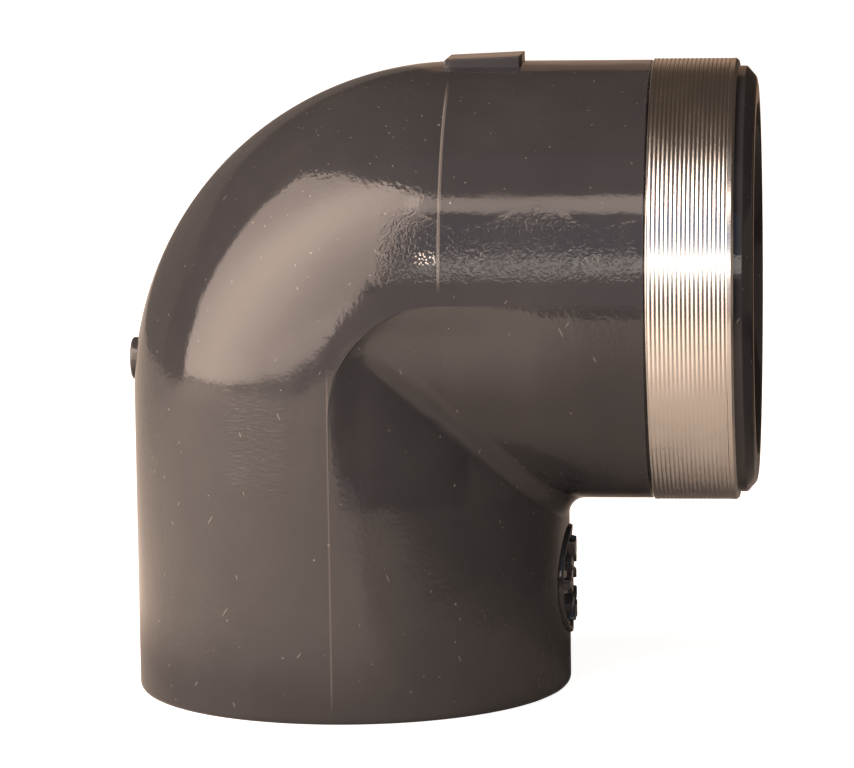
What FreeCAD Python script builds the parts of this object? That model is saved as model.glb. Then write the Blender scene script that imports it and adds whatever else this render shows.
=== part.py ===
import FreeCAD, Part
import math
import os
import re
import Sketcher

# A ninety degree pipe elbow moulded in one piece, with a plain socket pointing down,
# a threaded outlet pointing along +X and a steel ring pressed over the outlet's nose.
# Millimetres. The origin is the centre of the socket's mouth, and +Z runs up the socket leg.
# The axes of the two legs cross at the height socket_reach.

doc = FreeCAD.newDocument("pipe_elbow")

driving = {
    # outside of the moulding, whose wall is measured from the socket
    "socket_radius": 31.6,
    "socket_wall": 6.4,
    "bend_radius": 19.3,
    "socket_reach": 71.5,
    "outlet_reach": 71.2,
    "crotch_round": 3.6,
    "cheek_round": 8.0,
    "rim_bevel": 1.2,
    # hollow, with the waterway narrower than the socket and the thread wider than the waterway
    "socket_depth": 38.0,
    "socket_lead": 1.5,
    "stop_width": 4.6,
    "thread_step": 1.33,
    "thread_depth": 25.7,
    "thread_lead": 2.2,
    # nose that carries the ring, with its reach taken from the crossing of the axes
    "shoulder_reach": 53.1,
    "seat_step": 1.1,
    "nose_bevel": 1.7,
    "nose_slope": 1.6,
    # steel ring
    "ring_shadow": 0.3,
    "ring_width": 14.6,
    "ring_wall": 1.33,
    "ring_play": 0.02,
    "ring_edge": 0.4,
    "land_width": 0.2,
    # wedge left by the mould on top of the outlet leg
    "wedge_start": 17.6,
    "wedge_length": 13.0,
    "wedge_width": 15.4,
    "wedge_low": 0.6,
    "wedge_high": 1.3,
    # depth to which the nose and the wedge are rooted in the leg
    "root_depth": 3.0,
    # side of the blocks that clear whole regions
    "block_side": 160.0,
}
hub_radius = "(socket_radius + socket_wall)"
water_radius = "(socket_radius - stop_width)"
thread_radius = f"({water_radius} + thread_step)"
seat_radius = f"({hub_radius} - seat_step)"
bend_segments = 4
low_mitre, high_mitre = 22.5, 67.5
tolerance = 0.01

sheet = doc.addObject("Spreadsheet::Sheet", "sizes")
for row, (alias, value) in enumerate(driving.items(), 1):
    sheet.set(f"A{row}", alias.replace("_", " "))
    sheet.set(f"B{row}", str(value))
    sheet.setAlias(f"B{row}", alias)
doc.recompute()

upright = FreeCAD.Rotation(FreeCAD.Vector(1, 0, 0), 90)
along_x = FreeCAD.Rotation(FreeCAD.Vector(0, 1, 0), 90)


def tied(formula):
    """The same formula with each size looked up in the sheet."""
    return re.sub("[a-z_]+", lambda word: f"sizes.{word[0]}" if word[0] in driving else word[0],
                  formula)


def value_of(formula):
    return float(sheet.evalExpression(tied(formula)))


def bind(item, **formulas):
    """Tie properties to formulas. Two underscores in a name stand for the dot in its path."""
    for path, formula in formulas.items():
        item.setExpression(path.replace("__", "."), tied(formula))
    return item


def part(kind, name, turn=None, **formulas):
    """A Part primitive or operation with its properties tied to the sheet."""
    item = doc.addObject(f"Part::{kind}", name)
    if turn:
        item.Placement = FreeCAD.Placement(FreeCAD.Vector(), turn)
    return bind(item, **formulas)


def fuse(name, *shapes):
    item = doc.addObject("Part::MultiFuse", name)
    item.Shapes = list(shapes)
    return item


def cut(name, base, tool):
    item = doc.addObject("Part::Cut", name)
    item.Base, item.Tool = base, tool
    return item


def polygon(drawing, corners):
    """Straight sides between corners, each corner held by a formula for each coordinate."""
    points = [FreeCAD.Vector(value_of(x), value_of(y), 0) for x, y in corners]
    sides = [drawing.addGeometry(Part.LineSegment(points[n], points[(n + 1) % len(points)]))
             for n in range(len(points))]
    for n, (x, y) in enumerate(corners):
        drawing.addConstraint(Sketcher.Constraint("Coincident", sides[n - 1], 2, sides[n], 1))
        for kind, formula in (("DistanceX", x), ("DistanceY", y)):
            held = drawing.addConstraint(
                Sketcher.Constraint(kind, -1, 1, sides[n], 1, value_of(formula)))
            drawing.setExpression(f"Constraints[{held}]", tied(formula))


def half_disc(drawing, radius):
    """The half of a disc on the negative side of the drawing's vertical axis, in equal arcs."""
    size = value_of(radius)
    arc_count = 4
    arc_angle = math.pi / arc_count

    def rim(step):
        angle = math.pi / 2 + step * arc_angle
        return FreeCAD.Vector(size * math.cos(angle), size * math.sin(angle), 0)

    arcs = [drawing.addGeometry(Part.Arc(rim(n), rim(n + 0.5), rim(n + 1)))
            for n in range(arc_count)]
    flat = drawing.addGeometry(Part.LineSegment(rim(arc_count), rim(0)))
    for arc in arcs:
        drawing.addConstraint(Sketcher.Constraint("Coincident", arc, 3, -1, 1))
    for arc, following in zip(arcs, arcs[1:] + [flat]):
        drawing.addConstraint(Sketcher.Constraint("Coincident", arc, 2, following, 1))
    drawing.addConstraint(Sketcher.Constraint("Coincident", flat, 2, arcs[0], 1))
    drawing.addConstraint(Sketcher.Constraint("PointOnObject", -1, 1, flat))
    drawing.addConstraint(Sketcher.Constraint("Vertical", flat))
    drawing.addConstraint(Sketcher.Constraint("PointOnObject", arcs[1], 2, -1))
    for arc in (arcs[0], arcs[2]):
        drawing.addConstraint(Sketcher.Constraint("Angle", arc, arc_angle))
    held = drawing.addConstraint(Sketcher.Constraint("Radius", arcs[0], size))
    drawing.setExpression(f"Constraints[{held}]", tied(radius))


def sketch(name, turn, height, draw, *shape):
    """A drawing whose plane is turned by a rotation and lifted to a height."""
    drawing = doc.addObject("Sketcher::SketchObject", name)
    drawing.Placement = FreeCAD.Placement(FreeCAD.Vector(), turn)
    bind(drawing, Placement__Base__z=height)
    draw(drawing, *shape)
    return drawing


def corner_tool():
    """Everything above and outside the bend's centreline, which the legs give up to the bend."""
    block = part("Box", "corner_block", Length="block_side", Width="block_side",
                 Height="block_side", Placement__Base__x="bend_radius - block_side",
                 Placement__Base__y="-block_side / 2",
                 Placement__Base__z="socket_reach - bend_radius")
    core = part("Cylinder", "corner_core", upright, Radius="bend_radius",
                Height="block_side", Placement__Base__x="bend_radius",
                Placement__Base__y="block_side / 2",
                Placement__Base__z="socket_reach - bend_radius")
    return cut("corner_tool", block, core)


def mitred_legs():
    """Two round bars that meet in a mitre on the inside, cleared where the bend goes."""
    riser = part("Cylinder", "riser", Radius=hub_radius, Height="socket_reach")
    run = part("Cylinder", "run", along_x, Radius=hub_radius, Height="shoulder_reach",
               Placement__Base__z="socket_reach")
    return cut("legs", fuse("crossed_legs", riser, run), corner_tool())


def outer_bend():
    """The outer half of the bend, as equal segments of half a disc swept round its centre."""
    drawing = sketch("bend_section", FreeCAD.Rotation(), "0", half_disc, hub_radius)
    bind(drawing, Placement__Base__x="-bend_radius")
    segments = []
    for step in range(bend_segments):
        turn = FreeCAD.Rotation(FreeCAD.Vector(0, 1, 0), step * 90 / bend_segments)
        segment = part("Revolution", f"bend_segment_{step + 1}", turn,
                       Placement__Base__x="bend_radius",
                       Placement__Base__z="socket_reach - bend_radius")
        segment.Source = drawing
        segment.Axis = FreeCAD.Vector(0, 1, 0)
        segment.Angle = 90 / bend_segments
        segment.Solid = True
        segments.append(segment)
    return segments


def round_crotch(legs):
    """A concave round along the mitre, tight on the inside and wider on each cheek."""
    doc.recompute()
    corner = FreeCAD.Vector(value_of(hub_radius), 0,
                            value_of(f"socket_reach - {hub_radius}"))
    rounded = doc.addObject("Part::Fillet", "rounded_legs")
    rounded.Base = legs
    tight, wide = value_of("crotch_round"), value_of("cheek_round")
    edges = []
    for number, edge in enumerate(legs.Shape.Edges, 1):
        ends = [edge.valueAt(edge.FirstParameter), edge.valueAt(edge.LastParameter)]
        middle = edge.valueAt((edge.FirstParameter + edge.LastParameter) / 2)
        in_mitre = abs(middle.x - (value_of("socket_reach") - middle.z)) < tolerance
        if in_mitre and corner.distanceToPoint(ends[0]) < tolerance:
            edges.append((number, tight, wide))
        elif in_mitre and corner.distanceToPoint(ends[1]) < tolerance:
            edges.append((number, wide, tight))
        elif in_mitre:
            edges.append((number, wide, wide))
    rounded.Edges = edges
    return rounded


def turned(name, corners):
    """A profile in reach and radius, turned about the outlet's axis."""
    solid = part("Revolution", name, Base__z="socket_reach")
    solid.Source = sketch(f"{name}_profile", upright, "socket_reach", polygon, corners)
    solid.Axis = FreeCAD.Vector(1, 0, 0)
    solid.Angle = 360
    solid.Solid = True
    return solid


def nose():
    """The spigot that the ring is pressed over, with two bevels down to its end face."""
    land_end = "shoulder_reach + ring_shadow + ring_width + land_width"
    return turned("nose", [
        ("shoulder_reach - root_depth", water_radius),
        ("outlet_reach", water_radius),
        ("outlet_reach", f"{seat_radius} - nose_bevel - nose_slope"),
        (f"{land_end} + nose_bevel", f"{seat_radius} - nose_bevel"),
        (land_end, seat_radius),
        ("shoulder_reach - root_depth", seat_radius),
    ])


def mould_wedge():
    """The sloping tab along the top of the outlet leg."""
    wedge = part("Extrusion", "mould_wedge", LengthFwd="wedge_width")
    wedge.Base = sketch("wedge_side", upright, "socket_reach", polygon, [
        ("wedge_start", f"{hub_radius} - root_depth"),
        ("wedge_start + wedge_length", f"{hub_radius} - root_depth"),
        ("wedge_start + wedge_length", f"{hub_radius} + wedge_high"),
        ("wedge_start", f"{hub_radius} + wedge_low"),
    ])
    wedge.DirMode = "Custom"
    wedge.Dir = FreeCAD.Vector(0, 1, 0)
    wedge.Symmetric = True
    wedge.Solid = True
    return wedge


def half_space(name, angle, side):
    """A block on one side of a plane through the bend's centre, turned about the Y axis."""
    turn = FreeCAD.Rotation(FreeCAD.Vector(0, 1, 0), angle)
    along, across = f"block_side / 2 * cos({angle})", f"block_side / 2 * sin({angle})"
    shift = f"block_side * {side}"
    x = f"bend_radius - {along} + {shift} * sin({angle})"
    z = f"socket_reach - bend_radius + {across} + {shift} * cos({angle})"
    return part("Box", name, turn, Length="block_side", Width="block_side", Height="block_side",
                Placement__Base__x=x, Placement__Base__y="-block_side / 2",
                Placement__Base__z=z)


def waterway():
    """Two straight bores and a slanting one between them, mitred half way through each turn."""
    knee = f"bend_radius * (1 - tan({low_mitre}))"
    spare = f"{water_radius} * tan({low_mitre})"
    riser = part("Cylinder", "water_riser", Radius=water_radius, Height="socket_reach")
    slant = part("Cylinder", "water_slant", FreeCAD.Rotation(FreeCAD.Vector(0, 1, 0), 45),
                 Radius=water_radius, Height=f"{knee} * sqrt(2) + 2 * {spare}",
                 Placement__Base__x=f"-{spare} * sin(45)",
                 Placement__Base__z=f"socket_reach - {knee} - {spare} * cos(45)")
    run = part("Cylinder", "water_run", along_x, Radius=water_radius,
               Height="shoulder_reach", Placement__Base__z="socket_reach")
    above_low = half_space("above_low_mitre", low_mitre, 0)
    below_low = half_space("below_low_mitre", low_mitre, -1)
    before_high = half_space("before_high_mitre", high_mitre, -1)
    after_high = half_space("after_high_mitre", high_mitre, 0)
    return [
        cut("water_riser_mitred", riser, above_low),
        cut("water_slant_mitred", slant, fuse("slant_ends", below_low, after_high)),
        cut("water_run_mitred", run, before_high),
    ]


def hollow():
    """All the space inside: the plain socket, the waterway and the thread's bore."""
    mouth = part("Cylinder", "socket_bore", Radius="socket_radius", Height="socket_depth")
    lead = part("Cone", "socket_funnel", Radius1="socket_radius + socket_lead",
                Radius2="socket_radius", Height="socket_lead")
    thread = part("Cylinder", "thread_bore", along_x, Radius=thread_radius,
                  Height="thread_depth", Placement__Base__x="outlet_reach - thread_depth",
                  Placement__Base__z="socket_reach")
    funnel = part("Cone", "thread_funnel", along_x, Radius1=thread_radius,
                  Radius2=f"{thread_radius} + thread_lead", Height="thread_lead",
                  Placement__Base__x="outlet_reach - thread_lead",
                  Placement__Base__z="socket_reach")
    return fuse("hollow", *waterway(), mouth, lead, thread, funnel)


def break_rim(form):
    """The small bevel on the outer edge of the socket's mouth."""
    doc.recompute()
    bevelled = doc.addObject("Part::Chamfer", "bevelled_rim")
    bevelled.Base = form
    width = value_of("rim_bevel")
    bevelled.Edges = [
        (number, width, width) for number, edge in enumerate(form.Shape.Edges, 1)
        if abs(edge.CenterOfMass.z) < tolerance]
    return bevelled


def elbow_body():
    legs = round_crotch(mitred_legs())
    form = break_rim(fuse("outer_form", legs, *outer_bend(), nose()))
    solid = fuse("solid_form", form, mould_wedge())
    return cut("elbow_body", solid, hollow())


def reinforcing_ring():
    """A steel band with broken edges, seated on the nose against the shoulder's shadow gap."""
    body = doc.addObject("PartDesign::Body", "reinforcing_ring")
    profile = body.newObject("Sketcher::SketchObject", "ring_profile")
    face = next(plane for plane in body.Origin.OriginFeatures if plane.Role == "XZ_Plane")
    profile.AttachmentSupport = [(face, "")]
    profile.MapMode = "FlatFace"
    bind(profile, AttachmentOffset__Base__y="socket_reach")
    start = "shoulder_reach + ring_shadow"
    end = f"{start} + ring_width"
    inner = f"{seat_radius} + ring_play"
    outer = f"{inner} + ring_wall"
    polygon(profile, [
        (start, inner), (end, inner), (end, f"{outer} - ring_edge"),
        (f"{end} - ring_edge", outer), (start, outer),
    ])
    band = body.newObject("PartDesign::Revolution", "ring_band")
    band.Profile = profile
    band.ReferenceAxis = (profile, ["H_Axis"])
    band.Angle = 360
    return body


pieces = [elbow_body(), reinforcing_ring()]
doc.recompute()

faults = [item.Name for item in doc.Objects if {"Invalid", "Error"} & set(item.State)]
faults += [piece.Name for piece in pieces
           if piece.Shape.isNull() or not piece.Shape.isValid() or len(piece.Shape.Solids) != 1]
if faults:
    raise RuntimeError(f"not built: {faults}")

os.makedirs("parts", exist_ok=True)
for piece in pieces:
    piece.Shape.exportStep(f"parts/{piece.Label}.step")
    print(piece.Label, round(piece.Shape.Volume, 1), "cubic mm")
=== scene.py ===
import math
import bpy
import numpy as np
from mathutils import Matrix, Vector


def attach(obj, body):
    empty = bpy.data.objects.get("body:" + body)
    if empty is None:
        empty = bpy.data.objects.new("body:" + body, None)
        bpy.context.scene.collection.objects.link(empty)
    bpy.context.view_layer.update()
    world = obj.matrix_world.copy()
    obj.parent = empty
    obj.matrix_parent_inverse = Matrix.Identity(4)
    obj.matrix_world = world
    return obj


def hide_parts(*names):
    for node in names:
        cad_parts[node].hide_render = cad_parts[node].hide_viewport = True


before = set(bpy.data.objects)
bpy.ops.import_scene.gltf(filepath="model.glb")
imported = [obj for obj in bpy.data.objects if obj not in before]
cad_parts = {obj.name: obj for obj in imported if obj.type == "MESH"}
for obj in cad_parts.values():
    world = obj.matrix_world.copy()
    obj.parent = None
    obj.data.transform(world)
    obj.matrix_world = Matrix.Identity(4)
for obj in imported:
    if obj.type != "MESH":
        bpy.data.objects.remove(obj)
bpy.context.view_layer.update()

# A grey pipe elbow standing on its plain socket, with a turned steel ring on its threaded outlet.
# Shapes are worked out in millimetres and put into the meshes in metres.
print("frame loaded")


# materials

times = {"operation": "MULTIPLY"}
timesPlus = {"operation": "MULTIPLY_ADD"}
larger = {"operation": "MAXIMUM"}
below = {"operation": "LESS_THAN"}
smooth = {"interpolation_type": "SMOOTHSTEP"}
mixColours = {"data_type": "RGBA"}


# sRGB hex to linear: c / 12.92 near black, otherwise ((c + 0.055) / 1.055) to the power 2.4.
def linearColour(code, alpha=1.0):
    parts = [int(code[n:n + 2], 16) / 255 for n in (1, 3, 5)]
    return [c / 12.92 if c <= 0.04045 else ((c + 0.055) / 1.055) ** 2.4 for c in parts] + [alpha]


# A node with its settings, and its sockets set to a value or linked. A socket is called by its
# name, or by "in" and its number. A node given as a value stands for its first output.
def addNode(tree, kind, settings=None, **links):
    node = tree.nodes.new("ShaderNode" + kind)
    for key, value in (settings or {}).items():
        setattr(node, key, value)
    for key, value in links.items():
        number = key.removeprefix("in")
        socket = node.inputs[int(number) if number.isdigit() else key.replace("_", " ")]
        if isinstance(value, bpy.types.Node):
            value = value.outputs[0]
        if isinstance(value, bpy.types.NodeSocket):
            tree.links.new(value, socket)
        else:
            socket.default_value = value
    return node


# An empty material and its node tree.
def newMaterial(name):
    material = bpy.data.materials.new(name)
    material.use_nodes = True
    material.node_tree.nodes.clear()
    return material, material.node_tree


seam = {"x": 18.9, "width": 0.3, "proud": 0.045, "lowAngle": 86.0, "below": 0.06, "fade": 0.35, "steps": 160}

# Grey rigid PVC, injection moulded: a half-gloss skin with orange peel, fine dust, scuffs where it
# rubbed against other fittings in the box, with painted highlights on their dents, and a few light
# scratches. Sizes are in millimetres.
# The mould's grain is finer than this in the real one, and as coarse here as it needs to show.
mouldedPvc = {
    "colour": "#393A3D", "paler": "#3D3E40", "darker": "#36373A", "dust": "#8C8C8C",
    # next: light scratches and painted highlights on dents, then painted white highlights, then worn lines
    "scratchAndPaintedGlint": "#8D8A86", "paintedGlint": "#E6E4E0", "worn": "#86837F",
    "mottle": 16.0, "mottleEdges": (0.3, 0.5, 0.72),
    "roughness": 0.085, "dullest": 0.14, "ior": 1.53, "smudge": 10.0, "markDull": 0.3, "rubbedDull": 0.05,
    "speckCell": 2.6, "speckSize": 0.2, "speckShade": (0.6, 0.3),
    "tickLength": 22.0, "tickWidth": 2.2, "tickSize": 0.055, "tickShade": 0.45,
    "tickTurns": ((0.3, 0.9, 0.5), (1.2, -0.6, 2.1)),
    "rubbedFrom": (7.0, 75.6), "rubbedTo": (53.5, 86.8), "rubbedRamps": (3.0, 1.6),
    "lobeMiddle": 34.5, "lobePitch": 24.0, "lobeHeight": 1.6, "clump": 5.0, "clumpHeight": 4.0,
    # pale curls painted as highlights on the dents in the rubbed band
    "curlCell": 1.15, "curlWidth": 0.11, "curlBend": 1.7, "curlShare": 0.52, "paintedGlintShade": 0.55,
    "curlTop": 82.2, "curlRamp": 2.4,
    # one small cluster of painted white highlights, where a low lamp glints on the skin
    "dotCell": 0.48, "dotSize": 0.34, "dotsFrom": (14.6, 77.9), "dotsTo": (18.9, 80.9),
    "dotsRamps": (1.0, 1.0),
    "legLine": ((-0.22, 1.0), (0.22, 62.0), (0.12, 6.0)), "legShade": 0.25,
    "seamLine": ((seam["x"] - 0.3, 73.0), (seam["x"] + 0.3, 108.0), (0.1, 5.0)), "seamShade": 0.6,
    "flowFrom": (-21.0, 36.0), "flowTo": (-3.0, 58.0), "flowRamps": (6.0, 6.0), "flowDull": 0.13,
    "flowCell": (1.7, 1.7, 0.5), "flowHeight": 0.06,
    "uneven": 22.0, "peel": 0.75, "peelHeight": 0.024, "ripple": 5.0, "rippleHeight": 0.05,
    "grain": 0.22, "grainHeight": 0.0006, "dentCell": 0.95, "dentHeight": 0.055,
}


# 0 outside and 1 inside the range, with a smooth ramp of the given width at both its ends.
def rangeMask(tree, value, low, high, ramp):
    rise = addNode(tree, "MapRange", smooth, Value=value, in1=low, in2=low + ramp)
    fall = addNode(tree, "MapRange", smooth, Value=value, in1=high - ramp, in2=high, in3=1.0, in4=0.0)
    return addNode(tree, "Math", times, in0=rise, in1=fall)


# 1 inside a rectangle of x and z, and 0 outside: the product of a range along x and one along z.
def areaMask(tree, split, low, high, ramps):
    across = rangeMask(tree, split.outputs["X"], low[0], high[0], ramps[0])
    upwards = rangeMask(tree, split.outputs["Z"], low[1], high[1], ramps[1])
    return addNode(tree, "Math", times, in0=across, in1=upwards)


# Short curls, the shape of the painted highlights on the dents: the borders of Voronoi cells that
# noise has bent, kept only where a finer noise is high.
def glintCurlMask(tree, place):
    p = mouldedPvc
    cell, bend, share = p["curlCell"], p["curlBend"], p["curlShare"]
    warp = addNode(tree, "TexNoise", Vector=place, Scale=0.8 / cell, Detail=0.0)
    moved = addNode(tree, "VectorMath", timesPlus, in0=warp.outputs["Color"], in1=(bend, bend, bend),
                    in2=place)
    edge = addNode(tree, "TexVoronoi", {"feature": "DISTANCE_TO_EDGE"}, Vector=moved, Scale=1 / cell)
    line = addNode(tree, "MapRange", Value=edge.outputs["Distance"], in1=0.0, in2=p["curlWidth"] / cell,
                   in3=1.0, in4=0.0)
    patchy = addNode(tree, "TexNoise", Vector=place, Scale=1.9 / cell, Detail=0.0)
    keep = addNode(tree, "MapRange", Value=patchy, in1=share, in2=share + 0.05)
    return addNode(tree, "Math", times, in0=line, in1=keep)


# Straight ticks: Voronoi points in a turned, drawn-out space, so that each is a thin long grain.
def tickMask(tree, place, turn):
    p = mouldedPvc
    stretch = (1 / p["tickLength"], 1 / p["tickWidth"], 1 / p["tickWidth"])
    turned = addNode(tree, "Mapping", Vector=place, Rotation=turn)
    drawn = addNode(tree, "VectorMath", times, in0=turned, in1=stretch)
    cells = addNode(tree, "TexVoronoi", Vector=drawn, Scale=1.0)
    return addNode(tree, "Math", below, in0=cells.outputs["Distance"], in1=p["tickSize"])


# The plastic: its colour is mixed with that of each kind of mark in turn, its roughness is the
# skin's own plus what each mark adds, and its height is the sum of patterns, each by its own size.
def makeMouldedPvc():
    p = mouldedPvc
    material, tree = newMaterial("injectionMouldedGreyPvc")
    metres = addNode(tree, "TexCoord").outputs["Object"]
    place = addNode(tree, "VectorMath", {"operation": "SCALE"}, in0=metres, Scale=1000.0)
    split = addNode(tree, "SeparateXYZ", Vector=place)
    front = addNode(tree, "Math", below, in0=split.outputs["Y"], in1=0.0)

    # slow mottling of the melt
    mottle = addNode(tree, "TexNoise", Vector=place, Scale=1 / p["mottle"], Detail=3.0, Roughness=0.6)
    tone = addNode(tree, "ValToRGB", Fac=mottle)
    low, middle, high = p["mottleEdges"]
    ends = tone.color_ramp.elements
    ends[0].position = low
    ends[0].color = linearColour(p["darker"])
    ends[1].position = high
    ends[1].color = linearColour(p["paler"])
    ends.new(middle).color = linearColour(p["colour"])

    # dust specks and short ticks
    cells = addNode(tree, "TexVoronoi", Vector=place, Scale=1 / p["speckCell"])
    chosen = addNode(tree, "SeparateColor", Color=cells.outputs["Color"])
    size = addNode(tree, "MapRange", Value=chosen, in1=0.3, in2=1.0, in3=0.0,
                   in4=p["speckSize"] / p["speckCell"])
    speck = addNode(tree, "Math", below, in0=cells.outputs["Distance"], in1=size)
    spread, least = p["speckShade"]
    shade = addNode(tree, "Math", timesPlus, in0=chosen.outputs[1], in1=spread, in2=least)
    speck = addNode(tree, "Math", times, in0=speck, in1=shade)
    tick = addNode(tree, "Math", larger, in0=tickMask(tree, place, p["tickTurns"][0]),
                   in1=tickMask(tree, place, p["tickTurns"][1]))
    tick = addNode(tree, "Math", times, in0=tick, in1=p["tickShade"])

    # the band that rubbed, high on the front of the outlet leg: its upper edge rises and falls
    perMillimetre = math.tau / p["lobePitch"]
    wave = addNode(tree, "Math", timesPlus, in0=split.outputs["X"], in1=perMillimetre,
                   in2=-perMillimetre * p["lobeMiddle"])
    wave = addNode(tree, "Math", {"operation": "COSINE"}, in0=wave)
    clumps = addNode(tree, "TexNoise", Vector=place, Scale=1 / p["clump"], Detail=2.0)
    shifted = addNode(tree, "Math", timesPlus, in0=wave, in1=-p["lobeHeight"], in2=split.outputs["Z"])
    shifted = addNode(tree, "Math", timesPlus, in0=clumps, in1=p["clumpHeight"], in2=shifted)
    lower, upper = p["rubbedFrom"][1], p["rubbedTo"][1]
    half = p["clumpHeight"] / 2
    rubbed = areaMask(tree, split, (p["rubbedFrom"][0], lower - 1.5), (p["rubbedTo"][0], upper + 4.0),
                      p["rubbedRamps"])
    edge = rangeMask(tree, shifted, lower - 9.0 + half, upper + half, p["rubbedRamps"][1])
    for mask in (edge, front):
        rubbed = addNode(tree, "Math", times, in0=rubbed, in1=mask)

    # painted highlights: pale curls on the dents in the band's lower part, where the clumps are dense,
    # and one cluster of small white spots
    crowd = addNode(tree, "MapRange", Value=clumps, in1=0.42, in2=0.6)
    lowBand = rangeMask(tree, split.outputs["Z"], lower, p["curlTop"], p["curlRamp"])
    paintedGlintCurl = addNode(tree, "Math", times, in0=glintCurlMask(tree, place), in1=p["paintedGlintShade"])
    for mask in (rubbed, lowBand, crowd):
        paintedGlintCurl = addNode(tree, "Math", times, in0=paintedGlintCurl, in1=mask)
    # painted white highlights in one small cluster on the front
    cells = addNode(tree, "TexVoronoi", Vector=place, Scale=1 / p["dotCell"])
    paintedGlintDots = addNode(tree, "Math", below, in0=cells.outputs["Distance"], in1=p["dotSize"])
    for mask in (areaMask(tree, split, p["dotsFrom"], p["dotsTo"], p["dotsRamps"]), front):
        paintedGlintDots = addNode(tree, "Math", times, in0=paintedGlintDots, in1=mask)

    # the two lines where the mould's parts met are rubbed pale
    leg = addNode(tree, "Math", times, in0=areaMask(tree, split, *p["legLine"]), in1=p["legShade"])
    worn = areaMask(tree, split, *p["seamLine"])
    worn = addNode(tree, "Math", timesPlus, in0=worn, in1=p["seamShade"], in2=leg)
    # light scratches and the painted highlights on the dents share one pale colour, and the cluster of
    # painted white highlights has its own
    marks = addNode(tree, "Math", larger, in0=paintedGlintCurl, in1=tick)
    colour = tone
    for share, name in ((speck, "dust"), (worn, "worn"), (marks, "scratchAndPaintedGlint"), (paintedGlintDots, "paintedGlint")):
        mixed = addNode(tree, "Mix", mixColours, in0=share, in6=colour, in7=linearColour(p[name]))
        colour = mixed.outputs[2]

    # roughness: the skin's own gloss, duller in smudges, under marks and where the melt wrinkled
    smudge = addNode(tree, "TexNoise", Vector=place, Scale=1 / p["smudge"], Detail=3.0, Roughness=0.6,
                     Distortion=0.8)
    rough = addNode(tree, "MapRange", Value=smudge, in1=0.42, in2=0.78, in3=p["roughness"], in4=p["dullest"])
    flow = areaMask(tree, split, p["flowFrom"], p["flowTo"], p["flowRamps"])
    flow = addNode(tree, "Math", times, in0=flow, in1=front)
    for mask, name in ((rubbed, "rubbedDull"), (marks, "markDull"), (flow, "flowDull")):
        rough = addNode(tree, "Math", timesPlus, in0=mask, in1=p[name], in2=rough)

    # height in millimetres: orange peel that comes and goes, slow sink marks, the steel mould's
    # grain, dents in the rubbed band, and level wrinkles below the bend, where the melt cooled
    uneven = addNode(tree, "TexNoise", Vector=place, Scale=1 / p["uneven"], Detail=0.0)
    share = addNode(tree, "MapRange", Value=uneven, in1=0.4, in2=0.6, in3=0.3, in4=1.0)
    peel = addNode(tree, "TexNoise", Vector=place, Scale=1 / p["peel"], Detail=1.0, Roughness=0.4)
    peel = addNode(tree, "Math", times, in0=peel, in1=share)
    ripple = addNode(tree, "TexNoise", Vector=place, Scale=1 / p["ripple"], Detail=0.0)
    grain = addNode(tree, "TexNoise", Vector=place, Scale=1 / p["grain"], Detail=0.0)
    dent = addNode(tree, "TexNoise", Vector=place, Scale=1 / p["dentCell"], Detail=1.0, Distortion=1.2)
    dent = addNode(tree, "Math", times, in0=dent, in1=rubbed)
    level = addNode(tree, "Mapping", Vector=place, Scale=[1 / size for size in p["flowCell"]])
    wrinkle = addNode(tree, "TexNoise", Vector=level, Scale=1.0, Detail=2.0)
    wrinkle = addNode(tree, "Math", times, in0=wrinkle, in1=flow)
    height = 0.0
    for pattern, name in ((peel, "peelHeight"), (ripple, "rippleHeight"), (grain, "grainHeight"),
                          (dent, "dentHeight"), (wrinkle, "flowHeight")):
        height = addNode(tree, "Math", timesPlus, in0=pattern, in1=p[name], in2=height)
    bump = addNode(tree, "Bump", Strength=1.0, Distance=0.001, Height=height)
    shader = addNode(tree, "BsdfPrincipled", Base_Color=colour, Roughness=rough, IOR=p["ior"], Normal=bump)
    addNode(tree, "OutputMaterial", Surface=shader)
    return material


# Stainless steel, turned on a lathe and handled: bright, with fine lines round the axis, small
# nicks, and faint finger marks that dull it in places. Sizes are in millimetres. The lathe's lines
# are finer in the real one, and as coarse here as they need to show.
turnedSteel = {
    "colour": "#F0EEEA", "smudged": "#E8E5DF", "roughness": 0.17, "dullest": 0.21, "lathe": 0.11,
    "latheLength": 20.0, "latheDull": 0.12, "latheHeight": 0.003, "nick": 0.4, "nickHeight": 0.005,
    "smudge": 11.0, "smudgeEdges": (0.4, 0.7),
}


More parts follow.
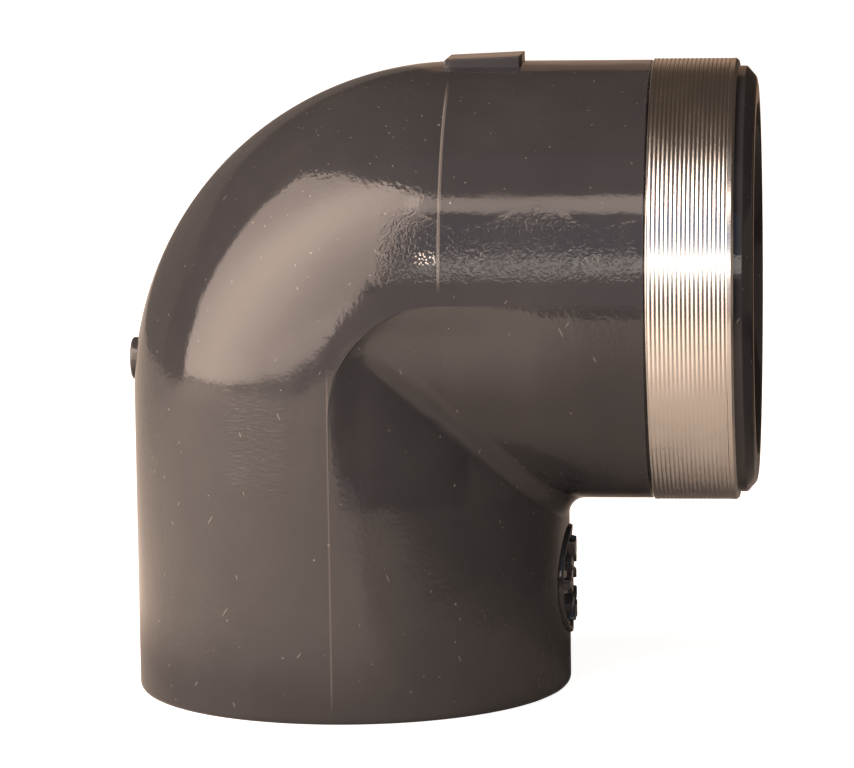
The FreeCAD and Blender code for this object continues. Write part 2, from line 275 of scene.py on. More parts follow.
# The steel: smudges mix its colour and roughness, and the lathe's lines and the nicks add height.
def makeTurnedSteel():
    s = turnedSteel
    material, tree = newMaterial("turnedStainlessSteel")
    metres = addNode(tree, "TexCoord").outputs["Object"]
    place = addNode(tree, "VectorMath", {"operation": "SCALE"}, in0=metres, Scale=1000.0)
    # lathe lines are thin along the axis and long round it
    around = 1 / s["latheLength"]
    lines = addNode(tree, "Mapping", Vector=place, Scale=(1 / s["lathe"], around, around))
    lathe = addNode(tree, "TexNoise", Vector=lines, Scale=1.0, Detail=2.0)
    nick = addNode(tree, "TexNoise", Vector=place, Scale=1 / s["nick"], Detail=3.0, Roughness=0.7)
    smudge = addNode(tree, "TexNoise", Vector=place, Scale=1 / s["smudge"], Detail=3.0, Distortion=1.2)
    dull = addNode(tree, "MapRange", Value=smudge, in1=s["smudgeEdges"][0], in2=s["smudgeEdges"][1])
    colour = addNode(tree, "Mix", mixColours, in0=dull, in6=linearColour(s["colour"]),
                     in7=linearColour(s["smudged"]))
    rough = addNode(tree, "MapRange", Value=dull, in3=s["roughness"], in4=s["dullest"])
    rough = addNode(tree, "Math", timesPlus, in0=lathe, in1=s["latheDull"], in2=rough)
    height = addNode(tree, "Math", times, in0=lathe, in1=s["latheHeight"])
    height = addNode(tree, "Math", timesPlus, in0=nick, in1=s["nickHeight"], in2=height)
    bump = addNode(tree, "Bump", Strength=1.0, Distance=0.001, Height=height)
    shader = addNode(tree, "BsdfPrincipled", Base_Color=colour.outputs[2], Metallic=1.0, Roughness=rough,
                     Normal=bump)
    addNode(tree, "OutputMaterial", Surface=shader)
    return material


pvc = makeMouldedPvc()
steel = makeTurnedSteel()
print("materials made")


# meshes

# 0 below low, 1 above high, and 3t squared - 2t cubed between them.
def smoothStep(low, high, value):
    t = np.clip((value - low) / (high - low), 0.0, 1.0)
    return t * t * (3.0 - 2.0 * t)


# A piece from a grid of points, rows by columns by xyz in mm, with its faces turned as the order of
# the points gives.
def gridMesh(name, points, material, closedRows=False, capped=False, sharpAngle=32.0):
    rows, columns = points.shape[:2]
    index = np.arange(rows * columns).reshape(rows, columns)
    lower = index if closedRows else index[:-1]
    upper = np.roll(index, -1, 0) if closedRows else index[1:]
    quads = np.stack([lower, np.roll(lower, -1, 1), np.roll(upper, -1, 1), upper], -1)
    faces = quads.reshape(-1, 4).tolist()
    if capped:
        faces += [index[0][::-1].tolist(), index[-1].tolist()]
    mesh = bpy.data.meshes.new(name)
    mesh.from_pydata((points.reshape(-1, 3) * 0.001).tolist(), [], faces)
    mesh.polygons.foreach_set("use_smooth", np.ones(len(faces), dtype=bool))
    mesh.set_sharp_from_angle(angle=math.radians(sharpAngle))
    mesh.materials.append(material)
    piece = bpy.data.objects.new(name, mesh)
    bpy.context.scene.collection.objects.link(piece)
    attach(piece, "root")
    return piece


elbow = {
    "hubRadius": 38.0, "bendRadius": 19.3, "crossingHeight": 71.5, "shoulderX": 53.1, "outletX": 71.2,
    "shoulderEdge": 0.15, "rimRound": 1.2, "outerCounts": (44, 60, 34),
    "innerCorner": 3.6, "cheekExtra": 1.1, "cheekMiddle": 6.0, "cheekWidth": 5.0, "ledgeWidth": 1.2,
    "waistEnd": 34.4, "waistSlope": 0.055, "waistLength": 15.0, "waistBlend": 6.0,
    "flashHeight": 0.03, "flashWidth": 0.13, "flashFade": (14.0, 24.0), "flashLoss": 0.85,
    "flashSteps": (-1.2, -0.5, -0.22, -0.1, 0.0, 0.05, 0.1, 0.15, 0.2, 0.3, 0.6, 1.2),
    "seatRadius": 36.9, "noseX": 69.3, "noseEdge": [(0.0, 0.0), (0.15, -0.04), (0.3, -0.17)],
    "lipRadius": 35.2, "lipEdge": [(-0.4, 0.15), (-0.25, -0.07), (-0.12, -0.4), (0.0, -1.1), (0.0, -1.9)],
    "mouthRadius": 30.7, "mouthEdge": (-0.12, -0.25),
    "threadRadius": 28.33, "threadDepth": 1.48, "threadPitch": 2.309, "threadEnd": 45.5, "threadMouth": 69.0,
    "threadRunout": (0.3, 3.0), "threadLead": (-0.3, 0.6), "threadCrest": 0.9, "threadCount": 112,
    "waterRadius": 27.0, "waterCorner": 2.0, "waterCounts": (10, 28, 10),
    "socketRadius": 31.6, "socketDepth": 38.0, "socketFunnel": 1.5, "socketTop": 30.0,
}


# Angles round the section, 0 on the outside of the bend and 90 degrees at the front. They are even,
# but close together near the parting line, where each is the arc sine of a height over the radius.
def elbowAngles():
    nearFlash = np.degrees(np.arcsin(np.array(elbow["flashSteps"]) / elbow["hubRadius"]))
    even = [np.linspace(0, 87, 60), np.linspace(93, 180, 60)[:-1]]
    half = np.sort(np.concatenate(even + [90 + nearFlash]))
    return np.radians(np.concatenate([half, [180.0], 360.0 - half[:0:-1]]))


# Lines up the leg, round the bend and along the outlet, one for each angle round the section. On
# the outside the bend is an arc about the bend's centre. On the inside the arc's radius shrinks
# to that of the inner corner as a power of the way there, chosen so that the slope is continuous.
def legPath(angles, radius, corner, zLow, xHigh, counts):
    bend, height = elbow["bendRadius"], elbow["crossingHeight"]
    out = radius * np.cos(angles)
    power = radius / (bend - corner)
    inside = corner + (bend - corner) * np.clip(1 + out / radius, 0, 1) ** power
    arc = np.where(out >= 0, bend + out, inside)
    centreX, centreZ = arc - out, height + out - arc
    up = np.linspace(0, 1, counts[0])[:, None]
    x1 = np.broadcast_to(-out, (counts[0], len(angles)))
    z1 = zLow + (centreZ - zLow) * up
    turn = np.linspace(0, 1, counts[1] + 1)[1:]
    theta = np.radians(90 * turn)[:, None] * np.ones_like(out)
    x2 = centreX - arc * np.cos(theta)
    z2 = centreZ + arc * np.sin(theta)
    along = np.linspace(0, 1, counts[2] + 1)[1:, None]
    x3 = centreX + (xHigh - centreX) * along
    z3 = np.broadcast_to(height + out, (counts[2], len(angles)))
    x, z = np.concatenate([x1, x2, x3]), np.concatenate([z1, z2, z3])
    return x, np.broadcast_to(-radius * np.sin(angles), x.shape).copy(), z


# How far a point lies inwards on the two bars that meet in a mitre. It is the smaller of its
# distances from the two axes, and inside the round it is the corner of the arc through the point:
# c = (p + q + sqrt(2 r r - (p - q)(p - q))) / 2, less r. The round r grows near the cheeks.
def mitredDepth(x, z):
    e = elbow
    p, q = x, e["crossingHeight"] - z
    least = np.minimum(p, q)
    corner = e["innerCorner"] + e["cheekExtra"] * np.exp(-((least - e["cheekMiddle"]) / e["cheekWidth"]) ** 2)
    gap = p - q
    root = np.sqrt(np.clip(2 * corner ** 2 - gap ** 2, 0, None))
    return np.where(np.abs(gap) < corner, (p + q + root) / 2 - corner, least)


# The outside from the rim to the shoulder. The bend's outer half is a torus. Inside the parting
# line the surface drops by a small ledge to the two mitred bars, which narrow to a waist towards
# the inner corner. The parting line's ridge is the exponential of -(distance over width) squared.
def outerElbow(angles):
    e = elbow
    radius, bend = e["hubRadius"], e["bendRadius"]
    x, y, z = legPath(angles, radius, e["innerCorner"], e["rimRound"], e["shoulderX"] - e["shoulderEdge"],
                      e["outerCounts"])
    p, q = x, e["crossingHeight"] - z
    tiny = 1e-9
    isInner = np.cos(angles) < tiny
    depth = np.clip(mitredDepth(x, z), 0, radius)
    height = np.sqrt(np.clip(radius ** 2 - depth ** 2, 0, None))
    inSector = (p < bend) & (q < bend)
    inward = np.where(inSector, bend - np.hypot(bend - p, bend - q), np.minimum(p, q))
    step = smoothStep(0.0, e["ledgeWidth"], inward)
    height = height * step + radius * (1 - step)
    side = np.where(np.sin(angles) >= 0, -1.0, 1.0)
    side = np.where(np.abs(np.sin(angles)) < tiny, 0.0, side)
    run = np.clip(e["waistEnd"] - np.maximum(p, q), 0, e["waistLength"])
    height = height - e["waistSlope"] * run * smoothStep(0.0, e["waistBlend"], np.minimum(p, q))
    y = np.where(isInner, side * height, y)
    ridge = e["flashHeight"] * np.exp(-(inward / e["flashWidth"]) ** 2)
    ridge = ridge * (1 - e["flashLoss"] * smoothStep(*e["flashFade"], x))
    nearFlash = np.abs(np.cos(angles)) < 0.2
    return np.stack([x, y + np.where(nearFlash, side * ridge, 0.0), z], -1)


# Rows round an axis: for each (reach, radius) of a profile, a circle about the outlet or the leg.
def ringRows(angles, profile, alongX):
    profile = np.array(profile, float)
    reach, radius = profile[:, 0, None], profile[:, 1, None]
    out, front = radius * np.cos(angles), -radius * np.sin(angles)
    if alongX:
        return np.stack([reach + 0 * out, front, elbow["crossingHeight"] + out], -1)
    return np.stack([-out, front, reach + 0 * out], -1)


# The pipe thread: the radius grows from crest to root as half of 1 - cos of the turn, where the
# turn is x over the pitch less the angle, so that it is right-handed, and it fades at both ends.
def threadRows(angles):
    e = elbow
    x = np.linspace(e["threadMouth"], e["threadEnd"], e["threadCount"])[:, None] + 0 * angles
    turn = x / e["threadPitch"] - angles / math.tau
    fade = smoothStep(*e["threadRunout"], x - e["threadEnd"])
    fade = fade * smoothStep(*e["threadLead"], e["threadMouth"] - x)
    wave = 0.5 - 0.5 * np.cos(math.tau * turn)
    radius = e["threadRadius"] + e["threadDepth"] * fade * wave ** e["threadCrest"]
    return np.stack([x, -radius * np.sin(angles), e["crossingHeight"] + radius * np.cos(angles)], -1)


# The whole body as one closed grid: rim, outside, shoulder and nose, then the thread, the waterway
# and the socket back down to the rim. The rim is a quarter circle.
def makeElbow():
    angles = elbowAngles()
    e = elbow
    hub, rim, socket = e["hubRadius"], e["rimRound"], e["socketRadius"]
    quarter = np.radians(np.linspace(90, 0, 6))[1:-1]
    rimRows = [(0.0, hub - rim)] + [(rim - rim * math.sin(t), hub - rim + rim * math.cos(t)) for t in quarter]
    noseRows = [(e["shoulderX"], hub - e["shoulderEdge"]), (e["shoulderX"], e["seatRadius"])]
    noseRows += [(e["noseX"] + along, e["seatRadius"] + out) for along, out in e["noseEdge"]]
    noseRows += [(e["outletX"] + along, e["lipRadius"] + out) for along, out in e["lipEdge"]]
    along, out = e["mouthEdge"]
    noseRows += [(e["outletX"], e["mouthRadius"]), (e["outletX"] + along, e["mouthRadius"] + out)]
    noseRows += [(e["threadMouth"] + 0.05, e["threadRadius"] + 0.05)]
    water = legPath(angles, e["waterRadius"], e["waterCorner"], e["socketDepth"], e["threadEnd"],
                    e["waterCounts"])
    water = np.stack(water, -1)[::-1]
    socketRows = [(e["socketDepth"], e["waterRadius"] + 0.1), (e["socketDepth"], socket - 0.1)]
    socketRows += [(e["socketDepth"] - 0.1, socket)]
    socketRows += [(z, socket) for z in np.linspace(e["socketTop"], e["socketFunnel"], 6)]
    socketRows += [(0.05, socket + e["socketFunnel"]), (0.0, socket + e["socketFunnel"] + 0.1)]
    points = np.concatenate([
        ringRows(angles, rimRows, False), outerElbow(angles), ringRows(angles, noseRows, True),
        threadRows(angles), water, ringRows(angles, socketRows, False),
    ])
    piece = gridMesh("elbowShell", points, pvc, closedRows=True)
    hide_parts("elbow_body")


makeElbow()
print("elbow made")


steelRing = {
    "start": 53.4, "end": 68.0, "inner": 36.92, "outer": 38.25, "plainBand": 0.35, "ribPitch": 0.7245,
    "ribDepth": 0.08, "ribSteps": 10, "bevel": 0.4, "edge": 0.12, "around": 300,
}


# A turned band: its profile is carried round the outlet's axis, with one rib to each pitch. A rib
# rises as half of 1 - cos of the turn. The real ribs are about as fine as these.
def makeRing():
    r = steelRing
    outer = r["outer"]
    ribs = int((r["end"] - r["bevel"] - 0.2 - r["start"] - r["plainBand"]) / r["ribPitch"])
    phase = np.linspace(0, 1, r["ribSteps"], endpoint=False)
    x = r["start"] + r["plainBand"] + (np.arange(ribs)[:, None] + phase).ravel() * r["ribPitch"]
    crest = 0.5 - 0.5 * np.cos(math.tau * np.tile(phase, ribs))
    ribbed = np.stack([x, outer - r["ribDepth"] * (1 - crest)], -1)
    lastRib = ribbed[-1, 0] + r["ribPitch"] / r["ribSteps"]
    profile = np.concatenate([
        [(r["start"], outer - r["edge"]), (r["start"] + r["edge"], outer),
         (r["start"] + r["plainBand"] - 0.1, outer)],
        ribbed,
        [(lastRib, outer - r["ribDepth"]), (lastRib + 0.1, outer), (r["end"] - r["bevel"], outer),
         (r["end"], outer - r["bevel"]), (r["end"], r["inner"]), (r["start"], r["inner"])],
    ])
    angles = np.linspace(0, math.tau, r["around"], endpoint=False)
    piece = gridMesh("ribbedRing", ringRows(angles, profile, True), steel, closedRows=True)
    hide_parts("reinforcing_ring")


makeRing()
print("ring made")


# small marks left by the mould

sprue = {"height": 57.7, "radius": 3.7, "faceX": -38.65, "rootX": -36.6, "edge": 0.5, "around": 64}


# A stub on the heel: circles along its axis with a quarter-round front edge, closed at both ends.
def makeSprue():
    s = sprue
    around = np.linspace(0, math.tau, s["around"], endpoint=False)
    turn = np.radians(np.linspace(0, 90, 6))
    face = np.array([0.75, 0.5, 0.25, 0.04])
    reach = np.concatenate([[s["rootX"]], s["faceX"] + s["edge"] * (1 - np.sin(turn)), s["faceX"] + 0 * face])
    radius = np.concatenate([[s["radius"]], s["radius"] - s["edge"] * (1 - np.cos(turn)),
                             (s["radius"] - s["edge"]) * face])
    points = np.stack([reach[:, None] + 0 * around, radius[:, None] * np.cos(around),
                       s["height"] + radius[:, None] * np.sin(around)], -1)
    gridMesh("gateStub", points, pvc, capped=True)


# The flash where two slides of the mould met: a thin band over the outlet leg's upper half, with
# its profile carried round the axis from angle to angle, lower at its ends and closed there.
def makeSeam():
    s = seam
    low = math.radians(s["lowAngle"])
    angles = np.linspace(-low, low, s["steps"])
    half = s["width"] / 2
    profile = np.array([(-half, -s["below"]), (-half / 2, s["proud"]), (half / 2, s["proud"]),
                        (half, -s["below"])])
    fade = smoothStep(0.0, s["fade"], low - np.abs(angles))[:, None]
    reach = s["x"] + profile[:, 0] + 0 * angles[:, None]
    spread = elbow["hubRadius"] - s["below"] + (profile[:, 1] + s["below"]) * (0.3 + 0.7 * fade)
    points = np.stack([reach, -spread * np.sin(angles)[:, None],
                       elbow["crossingHeight"] + spread * np.cos(angles)[:, None]], -1)
    gridMesh("slideSeam", points, pvc, capped=True)


dial = {
    "height": 18.7, "radius": 9.6, "rimWidth": 0.9, "rimProud": 0.5, "blocks": 10, "blockStart": 4.6,
    "blockLength": 2.9, "blockWidth": 1.7, "blockProud": 1.15, "bossRadius": 3.0, "bossProud": 0.55,
    "soft": 0.15, "skin": 0.04, "sunk": 0.4, "around": 360, "steps": 44,
}


# A moulder's plain dial on the socket leg: a disc in polar steps whose height over the leg's
# cylinder is a rim, a boss and blocks at equal angles, each with soft edges.
def makeDial():
    d = dial
    soft = d["soft"]
    around = np.linspace(0, math.tau, d["around"], endpoint=False)
    edge = d["radius"] - np.array([0.0, soft, 2 * soft])
    steps = np.unique(np.round(np.concatenate([np.linspace(soft, d["radius"], d["steps"]), edge]), 3))
    rho = steps[:, None]
    rimPart = smoothStep(-0.2, 0.1, rho - d["radius"] + d["rimWidth"])
    rimPart = rimPart * smoothStep(0.0, 0.25, d["radius"] - rho) * d["rimProud"]
    pitch = math.tau / d["blocks"]
    spread = np.abs((around / pitch + 0.5) % 1.0 - 0.5) * pitch * rho
    blockPart = smoothStep(-soft, soft, d["blockWidth"] / 2 - spread)
    blockPart = blockPart * smoothStep(-soft, soft, rho - d["blockStart"])
    blockPart = blockPart * smoothStep(-soft, soft, d["blockStart"] + d["blockLength"] - rho)
    blockPart = blockPart * d["blockProud"]
    bossPart = smoothStep(0.0, 0.4, d["bossRadius"] - rho) * d["bossProud"]
    lift = np.maximum(np.maximum(rimPart, blockPart), bossPart) + d["skin"]
    y = rho * np.cos(around)
    z = d["height"] + rho * np.sin(around)
    top = np.stack([np.sqrt(elbow["hubRadius"] ** 2 - y ** 2) + lift, y, z], -1)
    back = top[::-1][[0, -1]].copy()
    back[..., 0] = np.sqrt(elbow["hubRadius"] ** 2 - back[..., 1] ** 2) - d["sunk"]
    gridMesh("moulderDial", np.concatenate([top, back])[:, ::-1], pvc, capped=True)


wedge = {"startX": 17.6, "length": 13.0, "width": 13.0, "low": 0.75, "high": 1.3, "edge": 0.2, "sunk": 1.2}


# The sloping tab on top of the outlet leg: its side profile is carried across, and the rows
# shrink by a quarter circle at both ends, so that all its edges are soft.
def makeWedge():
    w = wedge
    top = elbow["crossingHeight"] + elbow["hubRadius"]
    base = top - w["sunk"]
    start, end, edge = w["startX"], w["startX"] + w["length"], w["edge"]
    inwards = np.array([0.0, 0.1714, 0.5]) * edge
    rounded = np.sqrt(edge ** 2 - (edge - inwards) ** 2) - edge
    run = np.linspace(edge, w["length"] - edge, 9)
    slope = (w["high"] - w["low"]) / w["length"]
    upper = np.concatenate([
        np.stack([start + inwards, top + w["low"] + rounded], -1),
        np.stack([start + run, top + w["low"] + slope * run], -1),
        np.stack([end - inwards, top + w["high"] + rounded], -1)[::-1],
    ])
    side = np.concatenate([[(start, base)], upper, [(end, base)]])
    turn = np.radians(np.linspace(0, 90, 5))
    inset = edge * (1 - np.sin(turn))
    across = w["width"] / 2 - edge * (1 - np.cos(turn))
    across = np.concatenate([-across, across[::-1]])
    inset = np.concatenate([inset, inset[::-1]])[:, None]
    centre = (start + end) / 2
    px = centre + (side[:, 0] - centre) * (1 - inset / (w["length"] / 2))
    pz = np.where(side[:, 1] > base, side[:, 1] - inset, side[:, 1])
    points = np.stack([px, across[:, None] + 0 * px, pz], -1)
    gridMesh("mouldTab", points, pvc, capped=True)


makeSprue()
makeSeam()
makeDial()
makeWedge()
print("mould marks made")


# studio

# Angles in degrees, the distance in mm from the crossing of the axes.
camera = {
    "azimuth": 6.333, "elevation": 6.802, "roll": -0.773, "pan": -0.9, "tilt": 1.249,
    "distance": 846.93, "focalPixels": 4844.4, "imageWidth": 854, "sensor": 36.0,
}


# The unit vector from the elbow towards an azimuth and elevation in degrees: azimuth 0 is the front,
# -y, and it grows towards +x.
def backwards(azimuth, elevation):
    a, e = math.radians(azimuth), math.radians(elevation)
    return Vector((math.sin(a) * math.cos(e), -math.cos(a) * math.cos(e), math.sin(e)))


# The camera looks back along its own direction, turned by the roll. Its focal length is that in
# pixels, times the sensor's width over the image's.
def makeCamera():
    c = camera
    crossing = Vector((0, 0, elbow["crossingHeight"]))
    place = crossing + backwards(c["azimuth"], c["elevation"]) * c["distance"]
    back = backwards(c["azimuth"] + c["pan"], c["elevation"] + c["tilt"])
    a, r = math.radians(c["azimuth"] + c["pan"]), math.radians(c["roll"])
    right = Vector((math.cos(a), math.sin(a), 0))
    up = back.cross(right)
    right, up = right * math.cos(r) + up * math.sin(r), up * math.cos(r) - right * math.sin(r)
    data = bpy.data.cameras.new("studioCamera")
    data.sensor_width = c["sensor"]
    data.lens = c["focalPixels"] * c["sensor"] / c["imageWidth"]
    data.clip_start, data.clip_end = 0.05, 20.0
    view = bpy.data.objects.new("studioCamera", data)
    bpy.context.scene.collection.objects.link(view)
    rows = [[right[n], up[n], back[n], place[n] * 0.001] for n in range(3)]
    view.matrix_world = Matrix(rows + [[0, 0, 0, 1]])
    bpy.context.scene.camera = view


makeCamera()
bpy.context.scene.view_settings.view_transform = "Standard"

# Colours, and in metres the places where one passes into the next. The card's outline is where the
# floor ends in the elbow's gloss.
floorValues = {"colour": "#E0DDD9", "glow": 0.92, "side": 6.0}
card = {
    # the near colour and the glow's cut round the middle are painted shade of the elbow
    "near": "#BDB9B4", "far": "#E2DFDB", "right": "#7C7A78", "mirrored": "#FFE3CC", "depth": -0.0005,
    "paintedShadeRadius": (0.07, 0.16), "rightEdge": (0.08, 0.15), "backEdge": (0.0, 0.26),
    "glow": (1.0, 0.62, 0.0), "glowEdges": (-0.17, 0.02, 0.045), "glowShadeRadius": (0.05, 0.11),
    "glowBack": (-0.12, 0.16),
    "outline": [(-1.6, -0.6), (-0.03, -0.6), (0.02, -0.33), (0.092, -0.308), (0.155, -0.28),
                (0.234, -0.217), (0.3, -0.095), (0.308, 0.024), (0.25, 0.167), (0.07, 0.3), (0.07, 1.6),
                (-1.6, 1.6)],
}


# 1 for rays from the camera, in reflections and through glass, and 0 for light on a surface.
def seenDirectly(tree):
    rays = addNode(tree, "LightPath").outputs
    seen = addNode(tree, "Math", larger, in0=rays["Is Camera Ray"], in1=rays["Is Glossy Ray"])
    return addNode(tree, "Math", larger, in0=seen, in1=rays["Is Transmission Ray"])


# A flat stage piece from its outline at a height.
def flatStage(name, outline, height, material):
    mesh = bpy.data.meshes.new(name)
    mesh.from_pydata([(x, y, height) for x, y in outline], [], [list(range(len(outline)))])
    mesh.materials.append(material)
    sheet = bpy.data.objects.new(name, mesh)
    bpy.context.scene.collection.objects.link(sheet)
    return sheet


# The floor that the camera sees glows a little, which makes it white outside the shadow.
def makeFloor():
    f = floorValues
    material, tree = newMaterial("paleStudioPaper")
    paper = addNode(tree, "BsdfDiffuse", Color=linearColour(f["colour"]))
    glow = addNode(tree, "Math", times, in0=seenDirectly(tree), in1=f["glow"])
    light = addNode(tree, "Emission", Color=linearColour("#FFFFFF"), Strength=glow)
    both = addNode(tree, "AddShader", in0=paper, in1=light)
    addNode(tree, "OutputMaterial", Surface=both)
    s = f["side"]
    floor = flatStage("floor", [(-s, -s), (s, -s), (s, s), (-s, s)], 0.0, material)
    floor.visible_diffuse = floor.visible_glossy = floor.visible_transmission = floor.visible_shadow = False


# What lights the elbow from below and shows in its gloss is a card just under the floor. It is darker
# near the middle, painted shade of the elbow on it, and darker to the right and behind. Its glow steps
# down from left to right, and is cut round the middle as painted shade too.
def makeCard():
    c = card
    material, tree = newMaterial("paleCard")
    metres = addNode(tree, "TexCoord").outputs["Object"]
    split = addNode(tree, "SeparateXYZ", Vector=metres)
    reach, behind = split.outputs["X"], split.outputs["Y"]
    away = addNode(tree, "VectorMath", {"operation": "LENGTH"}, in0=metres).outputs["Value"]
    # darker near the middle: painted shade of the elbow on the card
    paler = addNode(tree, "MapRange", smooth, Value=away, in1=c["paintedShadeRadius"][0], in2=c["paintedShadeRadius"][1])
    toRight = addNode(tree, "MapRange", smooth, Value=reach, in1=c["rightEdge"][0], in2=c["rightEdge"][1])
    toBack = addNode(tree, "MapRange", smooth, Value=behind, in1=c["backEdge"][0], in2=c["backEdge"][1])
    darker = addNode(tree, "Math", larger, in0=toRight, in1=toBack)
    colour = addNode(tree, "Mix", mixColours, in0=paler, in6=linearColour(c["near"]),
                     in7=linearColour(c["far"]))
    colour = addNode(tree, "Mix", mixColours, in0=darker, in6=colour.outputs[2], in7=linearColour(c["right"]))
    paper = addNode(tree, "BsdfDiffuse", Color=colour.outputs[2])
    high, middle, low = c["glow"]
    first, second, third = c["glowEdges"]
    left = addNode(tree, "MapRange", smooth, Value=reach, in1=first, in2=second, in3=high - middle, in4=0.0)
    right = addNode(tree, "MapRange", smooth, Value=reach, in1=second, in2=third, in3=middle, in4=low)
    # the glow is cut round the middle: painted shade of the elbow in its gloss
    clear = addNode(tree, "MapRange", smooth, Value=away, in1=c["glowShadeRadius"][0], in2=c["glowShadeRadius"][1])
    front = addNode(tree, "MapRange", smooth, Value=behind, in1=c["glowBack"][0], in2=c["glowBack"][1],
                    in3=1.0, in4=0.0)
    glow = addNode(tree, "Math", timesPlus, in0=left, in1=front, in2=right)
    for mask in (clear, seenDirectly(tree)):
        glow = addNode(tree, "Math", times, in0=glow, in1=mask)
    light = addNode(tree, "Emission", Color=linearColour(c["mirrored"]), Strength=glow)
    both = addNode(tree, "AddShader", in0=paper, in1=light)
    addNode(tree, "OutputMaterial", Surface=both)
    flatStage("paleCard", c["outline"], c["depth"], material).visible_camera = False


makeFloor()
makeCard()

# the studio round the object is a dark dome that the camera looks through
dome = {"radius": 6.0, "colour": "#2A2725", "step": 2, "dimLight": "#FFDDC0", "dim": 0.05}


# A sphere round the object in equal steps of azimuth and elevation, with a dim warm light of its own.
def makeDome():
    d = dome
    material, tree = newMaterial("blackStudioCloth")
    cloth = addNode(tree, "BsdfDiffuse", Color=linearColour(d["colour"]))
    light = addNode(tree, "Emission", Color=linearColour(d["dimLight"]), Strength=d["dim"])
    both = addNode(tree, "AddShader", in0=cloth, in1=light)
    addNode(tree, "OutputMaterial", Surface=both)
    a = np.radians(np.arange(-180, 180, d["step"]))
    e = np.radians(np.arange(-90, 91, d["step"]))[:, None]
    points = np.stack([np.sin(a) * np.cos(e), -np.cos(a) * np.cos(e), np.sin(e) + 0 * a], -1) * d["radius"]
    rows, columns = points.shape[:2]
    index = np.arange(rows * columns).reshape(rows, columns)
    turned = np.roll(index, -1, 1)
    quads = np.stack([index[:-1], turned[:-1], turned[1:], index[1:]], -1)
    mesh = bpy.data.meshes.new("studioDome")
    mesh.from_pydata(points.reshape(-1, 3).tolist(), [], quads.reshape(-1, 4).tolist())
    mesh.materials.append(material)
    shade = bpy.data.objects.new("studioDome", mesh)
    bpy.context.scene.collection.objects.link(shade)
    shade.visible_camera = False


makeDome()

# soft lamps: azimuth and elevation of the middle in degrees, sizes in metres, and radiance, where a
# white wall lit to radiance 1 renders white; tilt is the elevation that the panel faces, and a glow
# is its height, its two widths, its place on the panel and how far it leans
lampMiddle = (0, 0, 0.07)
lamps = {
    "keyWindow": {"azimuth": -53.5, "elevation": 37.0, "tilt": 0, "distance": 1.631, "width": 2.07,
                  "height": 2.05, "radiance": 3.9, "colour": "#FFE3D1",
                  "glow": (4.1, 0.62, 1.6, 0.52, 0.45, 0.5)},
    "leftWall": {"azimuth": -145.5, "elevation": 9, "tilt": 9, "distance": 3.0, "width": 3.8, "height": 1.5,
                 "radiance": 0.15, "colour": "#FFE8D6"},
    "backWall": {"azimuth": 181, "elevation": 10, "tilt": 10, "distance": 3.2, "width": 0.75, "height": 2.5,
                 "radiance": 0.24, "colour": "#FFCBA6"},
    "rightWall": {"azimuth": 105, "elevation": 2, "tilt": 2, "distance": 2.4, "width": 3.6, "height": 1.0,
                  "radiance": 0.2, "colour": "#FFE2D0"},
    "ceilingStrip": {"azimuth": -5, "elevation": 45.5, "tilt": 45.5, "distance": 2.0, "width": 0.63,
                     "height": 0.31, "radiance": 3.8, "colour": "#FFE7DA"},
    "frontWindow": {"azimuth": 13, "elevation": 14, "tilt": 14, "distance": 2.3, "width": 1.8, "height": 0.36,
                    "radiance": 3.3, "colour": "#FFF6F0"},
    "highFill": {"azimuth": -10, "elevation": 63, "tilt": 63, "distance": 2.4, "width": 3.4, "height": 0.9,
                 "radiance": 0.14, "colour": "#D2DAE6"},
    "frontFill": {"azimuth": 13, "elevation": 30, "tilt": 30, "distance": 2.2, "width": 2.2, "height": 0.78,
                  "radiance": 0.3, "colour": "#90C0FF"},
    "lowFill": {"azimuth": -15, "elevation": -1, "tilt": 0, "distance": 2.2, "width": 2.05, "height": 0.6,
                "radiance": 0.5, "colour": "#FFE6E6"},
}


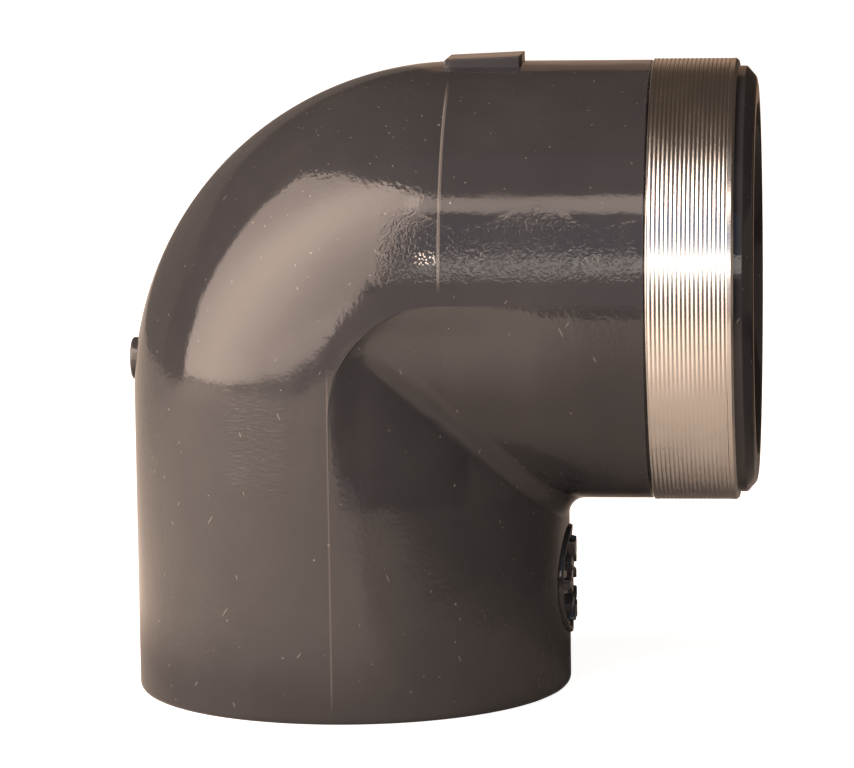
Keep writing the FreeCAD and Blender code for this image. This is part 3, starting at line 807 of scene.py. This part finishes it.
# A lamp's glow adds a bright middle to its panel, which falls off from its centre as
# exp(-(u / w)^2 - (v / h)^2), where u and v are in metres and u leans with v.
def makeGlow(data, values):
    peak, spreadX, spreadY, middleX, middleY, lean = values["glow"]
    data.use_nodes = True
    tree = data.node_tree
    tree.nodes.clear()
    place = addNode(tree, "NewGeometry")
    split = addNode(tree, "SeparateXYZ", Vector=place.outputs["Parametric"])
    leaning = addNode(tree, "Math", timesPlus, in0=split.outputs["Y"], in1=-lean, in2=split.outputs["X"])
    total = 0.0
    for along, size, middle in ((leaning, values["width"] / spreadX, middleX - lean * middleY),
                                (split.outputs["Y"], values["height"] / spreadY, middleY)):
        away = addNode(tree, "Math", timesPlus, in0=along, in1=size, in2=-middle * size)
        total = addNode(tree, "Math", timesPlus, in0=away, in1=away, in2=total)
    fall = addNode(tree, "Math", {"operation": "POWER"}, in0=math.exp(-1), in1=total)
    shine = addNode(tree, "Math", timesPlus, in0=fall, in1=peak / values["radiance"], in2=1.0)
    emit = addNode(tree, "Emission", Strength=shine)
    addNode(tree, "OutputLight", Surface=emit)


# A rectangular lamp that faces the elbow's middle from a direction and distance. Its power in watts
# is pi times its area times the radiance.
def makeLamp(name, values):
    data = bpy.data.lights.new(name, "AREA")
    data.shape = "RECTANGLE"
    data.size, data.size_y = values["width"], values["height"]
    data.energy = math.pi * values["width"] * values["height"] * values["radiance"]
    data.color = linearColour(values["colour"])[:3]
    if "glow" in values:
        makeGlow(data, values)
    lamp = bpy.data.objects.new(name, data)
    away = backwards(values["azimuth"], values["elevation"])
    lamp.location = Vector(lampMiddle) + away * values["distance"]
    lamp.rotation_mode = "QUATERNION"
    lamp.rotation_quaternion = backwards(values["azimuth"], values["tilt"]).to_track_quat("Z", "Y")
    lamp.visible_camera = False
    bpy.context.scene.collection.objects.link(lamp)


for name, values in lamps.items():
    makeLamp(name, values)


# The world is white where the camera looks past the floor, and a plain fill for other light.
def makeWorld():
    world = bpy.data.worlds.new("studioWorld")
    world.use_nodes = True
    tree = world.node_tree
    tree.nodes.clear()
    fill = addNode(tree, "Background", Color=linearColour("#F4F6FA"), Strength=0.8)
    white = addNode(tree, "Background", Color=linearColour("#FFFFFF"), Strength=1.0)
    mixed = addNode(tree, "MixShader", in0=seenDirectly(tree), in1=fill, in2=white)
    addNode(tree, "OutputWorld", Surface=mixed)
    bpy.context.scene.world = world


makeWorld()
print("studio made")
